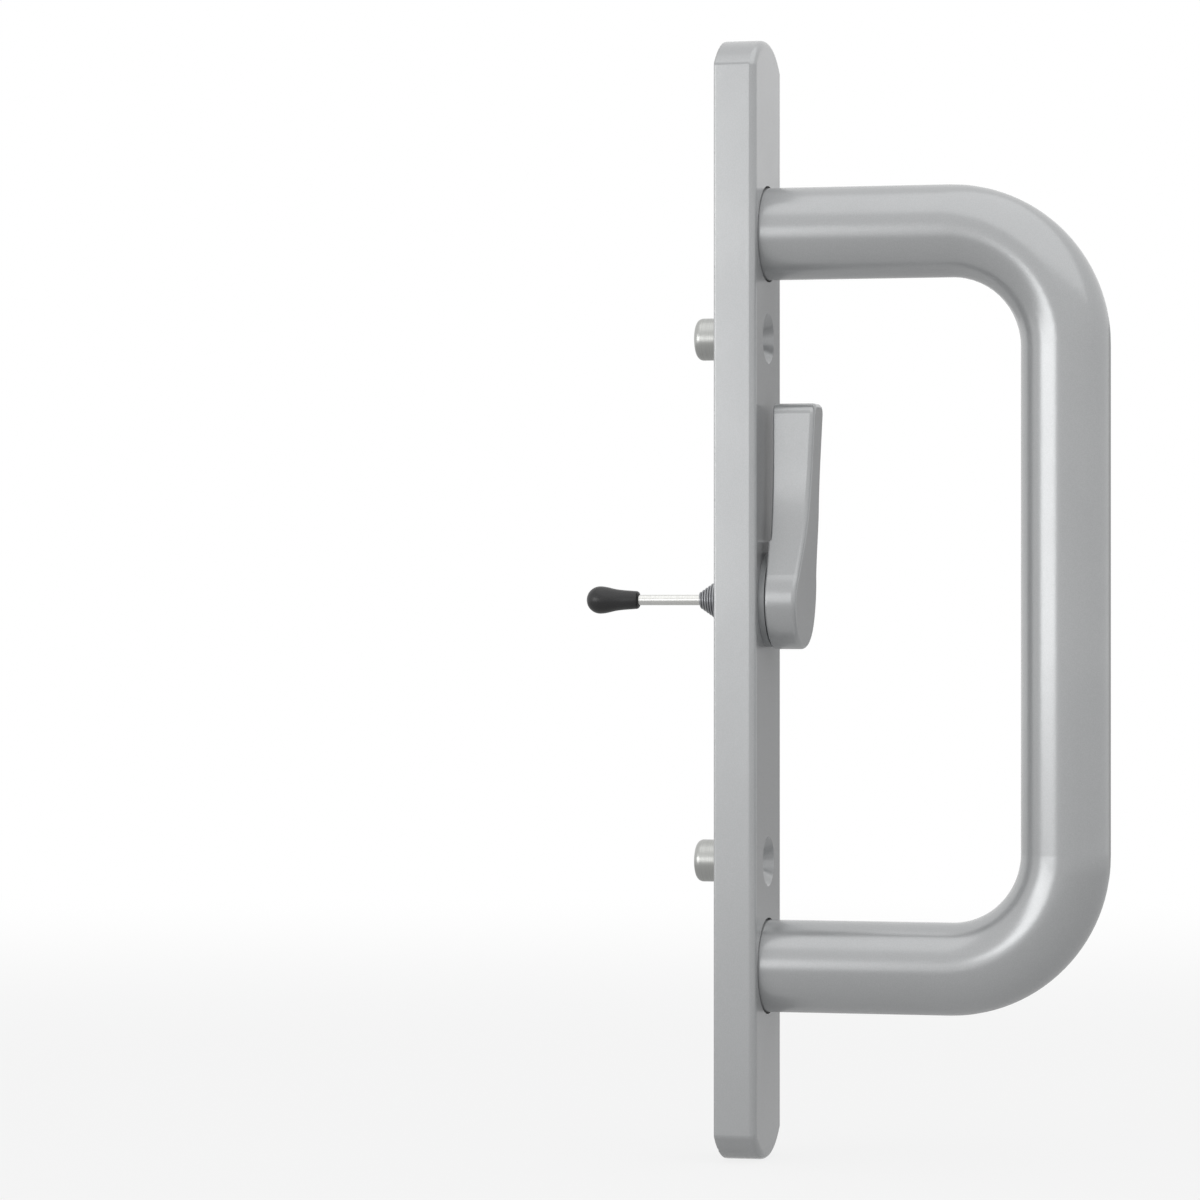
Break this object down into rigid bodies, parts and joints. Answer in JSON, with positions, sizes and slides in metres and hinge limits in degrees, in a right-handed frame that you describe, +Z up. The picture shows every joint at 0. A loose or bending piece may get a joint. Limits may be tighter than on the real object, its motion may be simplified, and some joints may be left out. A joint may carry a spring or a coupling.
{
  "type": "sliding patio door handle",
  "caption": "Interior D-shaped pull handle on a slim back plate with a quarter-turn thumb lever and a rod tail for the door lock.",
  "frame": {"origin": "centre of the back plate's back face, on the thumb turn's axis and midway between the two door screws", "axes": "+Z up along the plate, +Y into the door, -Y to the room, +X across the plate to the right as seen from the room"},
  "size_m": [0.022, 0.1018, 0.214],
  "materials": {
    "silver_paint": "satin silver-grey powder coat",
    "zinc_post": "plain turned metal",
    "zinc_plated_steel": "bright zinc plate",
    "bright_rod": "bright drawn rod",
    "grey_nylon": "moulded nylon",
    "black_nylon": "moulded nylon",
    "black_moulding": "soft satin black"
  },
  "bodies": {
    "handle": {"back_plate": "silver_paint", "grip_bar": "silver_paint", "upper_mount_sleeve": "zinc_post", "lower_mount_sleeve": "zinc_post", "upper_grip_screw": "zinc_plated_steel", "lower_grip_screw": "zinc_plated_steel", "upper_lock_washer": "zinc_plated_steel", "lower_lock_washer": "zinc_plated_steel", "disc_spring": "zinc_plated_steel", "hub_bush": "grey_nylon", "upper_seat_washer": "black_nylon", "lower_seat_washer": "black_nylon"},
    "turn": {"thumb_turn": "silver_paint", "stop_washer": "zinc_plated_steel", "retaining_ring": "zinc_plated_steel", "tail_rod": "bright_rod", "tail_pin": "zinc_plated_steel", "tail_spring": "zinc_plated_steel", "tail_tip": "black_moulding"}
  },
  "joints": [
    {"name": "thumb_turn_hinge", "type": "hinge", "parent": "handle", "child": "turn", "pos_m": [0, 0, 0], "axis": [0, -1, 0], "range_deg": [0, 90]}
  ]
}
